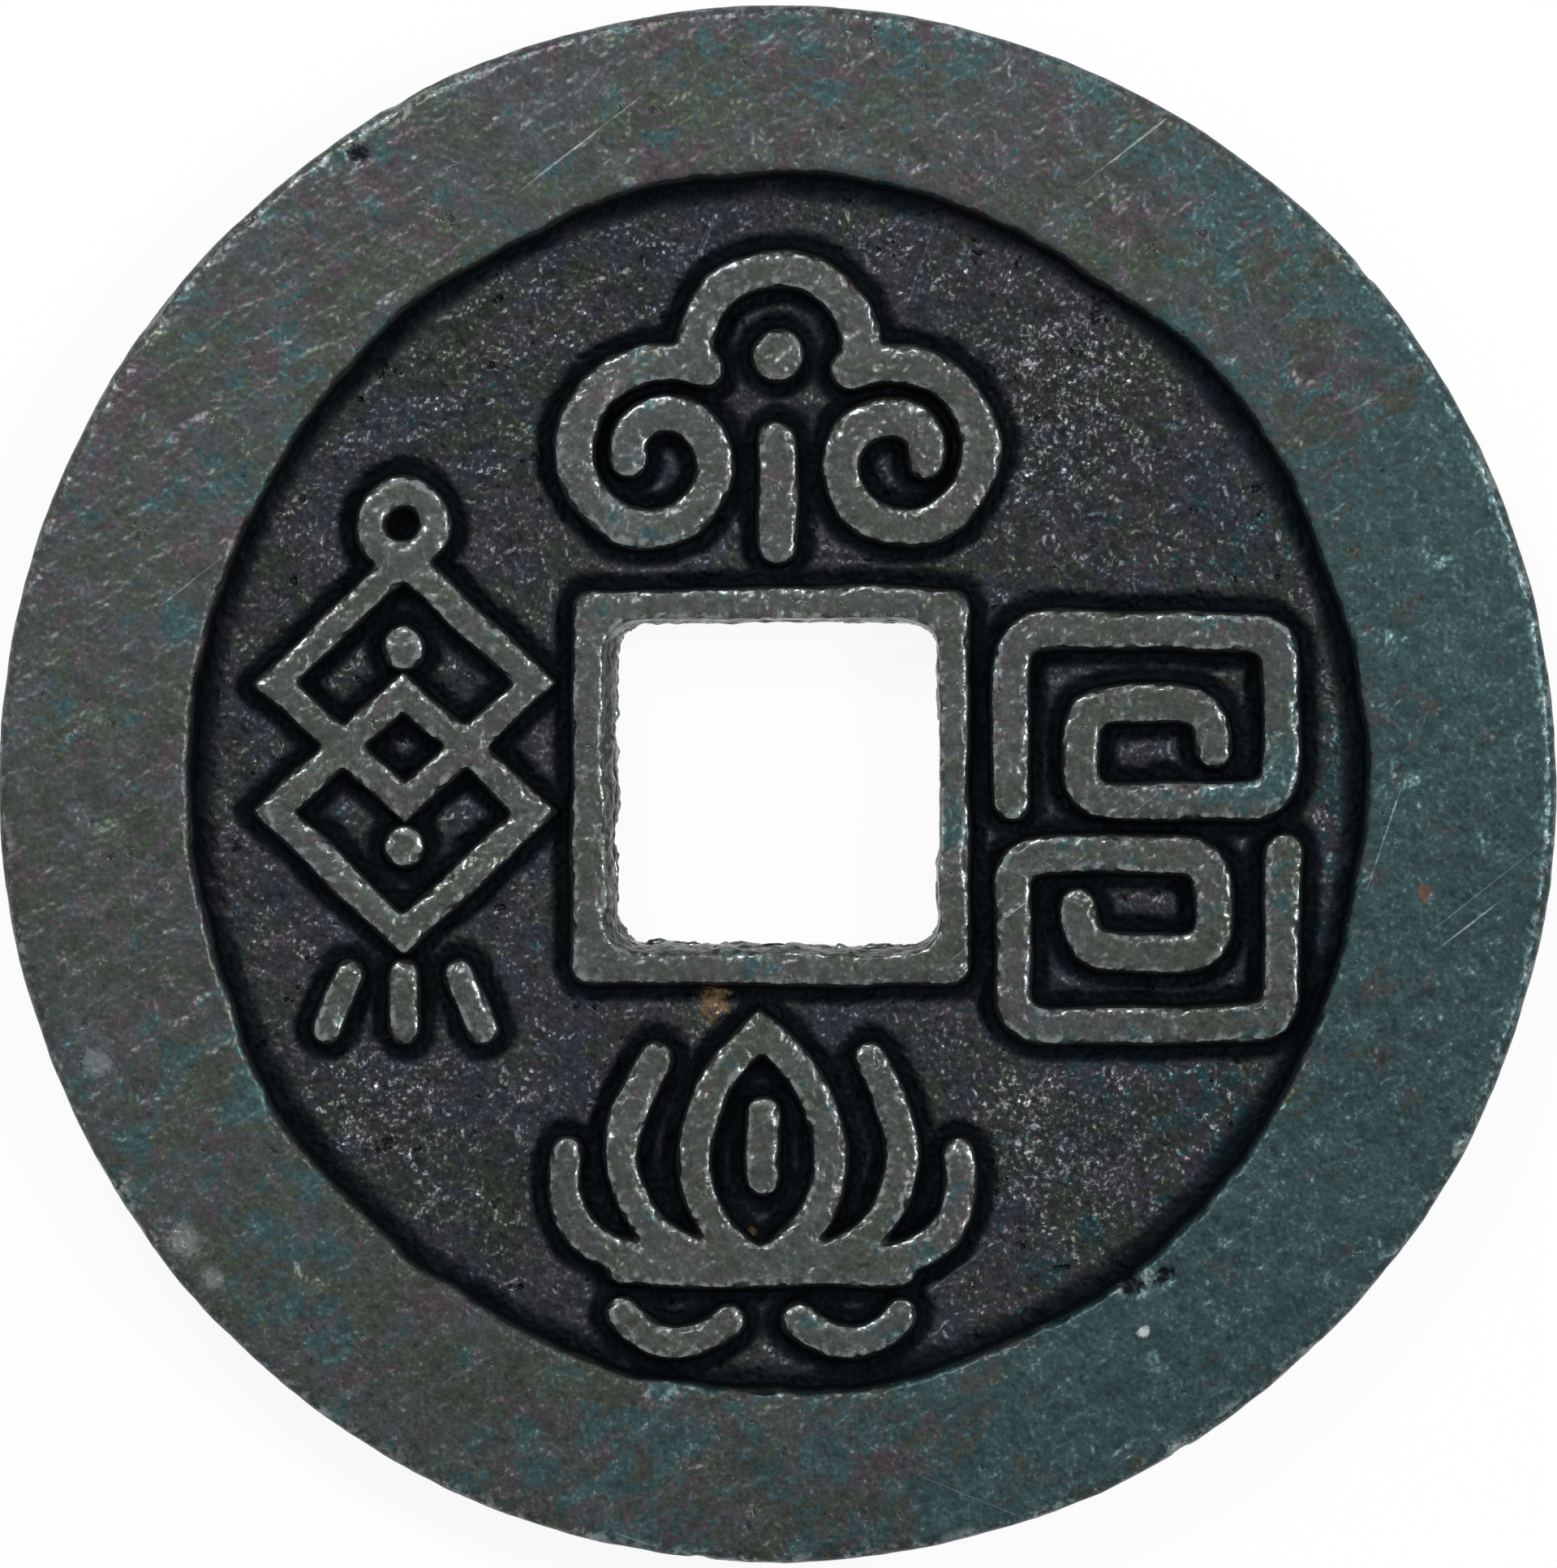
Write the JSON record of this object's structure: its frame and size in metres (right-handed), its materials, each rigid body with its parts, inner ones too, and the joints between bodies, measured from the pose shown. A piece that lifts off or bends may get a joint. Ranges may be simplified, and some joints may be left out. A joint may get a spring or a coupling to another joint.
{
  "type": "cash coin",
  "caption": "Round cast bronze coin with a square hole, broad outer rim, narrow inner rims and four raised line ornaments on a sunken field; plain reverse.",
  "frame": {"origin": "centre of the square hole on the plane of the reverse rim face", "axes": "+Z out of the obverse face, +Y towards the cloud ornament, +X towards the double fret"},
  "size_m": [0.03, 0.03, 0.0019],
  "materials": {
    "rim": "dark grey-green patina, worn satin on the face",
    "field": "purple-black rough cast patina",
    "relief": "dark patina rubbed paler on the raised lines"
  },
  "bodies": {
    "root": {"outer_rim": "rim", "field": "field", "inner_rim_obverse": "relief", "inner_rim_reverse": "relief", "cloud_scroll": "relief", "cloud_pearl": "relief", "cloud_tail": "relief", "fret_upper": "relief", "fret_lower": "relief", "lotus_petals": "relief", "lotus_seed": "relief", "lotus_wave_left": "relief", "lotus_wave_right": "relief", "double_lozenge": "relief", "lozenge_pearl_upper": "relief", "lozenge_pearl_lower": "relief", "tassel_left": "relief", "tassel_middle": "relief", "tassel_right": "relief"}
  },
  "joints": []
}
